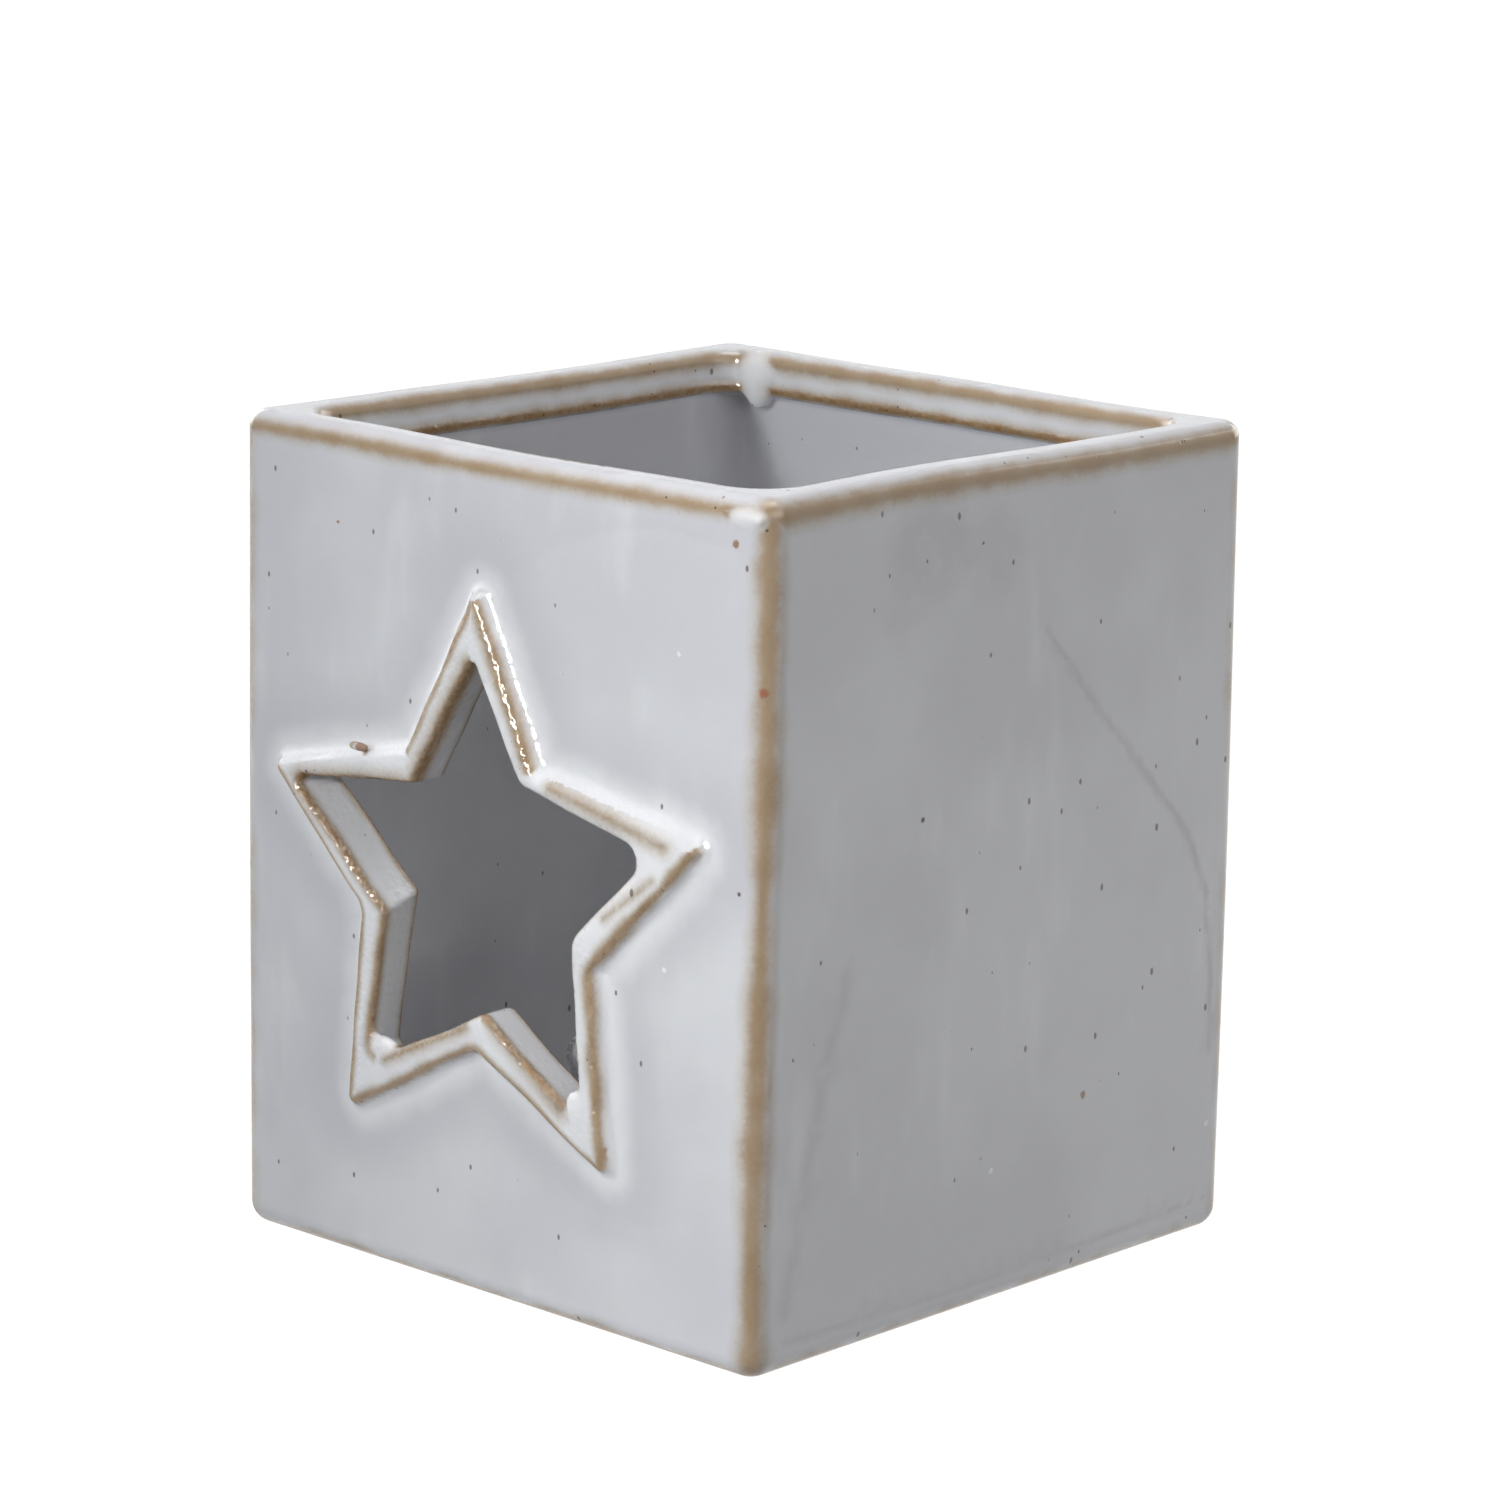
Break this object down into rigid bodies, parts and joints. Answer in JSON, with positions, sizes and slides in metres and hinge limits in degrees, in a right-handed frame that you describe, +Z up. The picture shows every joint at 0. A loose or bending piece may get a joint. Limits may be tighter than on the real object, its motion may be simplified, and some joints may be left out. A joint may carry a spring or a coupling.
{
  "type": "tealight holder",
  "caption": "Square glazed stoneware tealight holder with an open top and a framed star window in its front wall, holding a tealight candle that lifts out.",
  "frame": {"origin": "centre of the flat base, on the surface that the holder stands on", "axes": "+Z up through the open mouth, the star window in the wall that faces -Y, +X to the right when the star is looked at from the front"},
  "size_m": [0.08, 0.0818, 0.094],
  "materials": {
    "glaze": "gloss",
    "cup_metal": "satin",
    "wax": "satin",
    "wick_cotton": "matte",
    "sustainer_metal": "satin"
  },
  "bodies": {
    "holder": {"holder_body": "glaze"},
    "cup": {"tealight_cup": "cup_metal"},
    "candle": {"candle_wax": "wax", "wick": "wick_cotton", "wick_sustainer": "sustainer_metal"}
  },
  "joints": [
    {"name": "tealight_lift", "type": "slide", "parent": "holder", "child": "cup", "axis": [0, 0, 1], "range_m": [0, 0.11]},
    {"name": "candle_lift", "type": "slide", "parent": "cup", "child": "candle", "axis": [0, 0, 1], "range_m": [0, 0.03]}
  ]
}
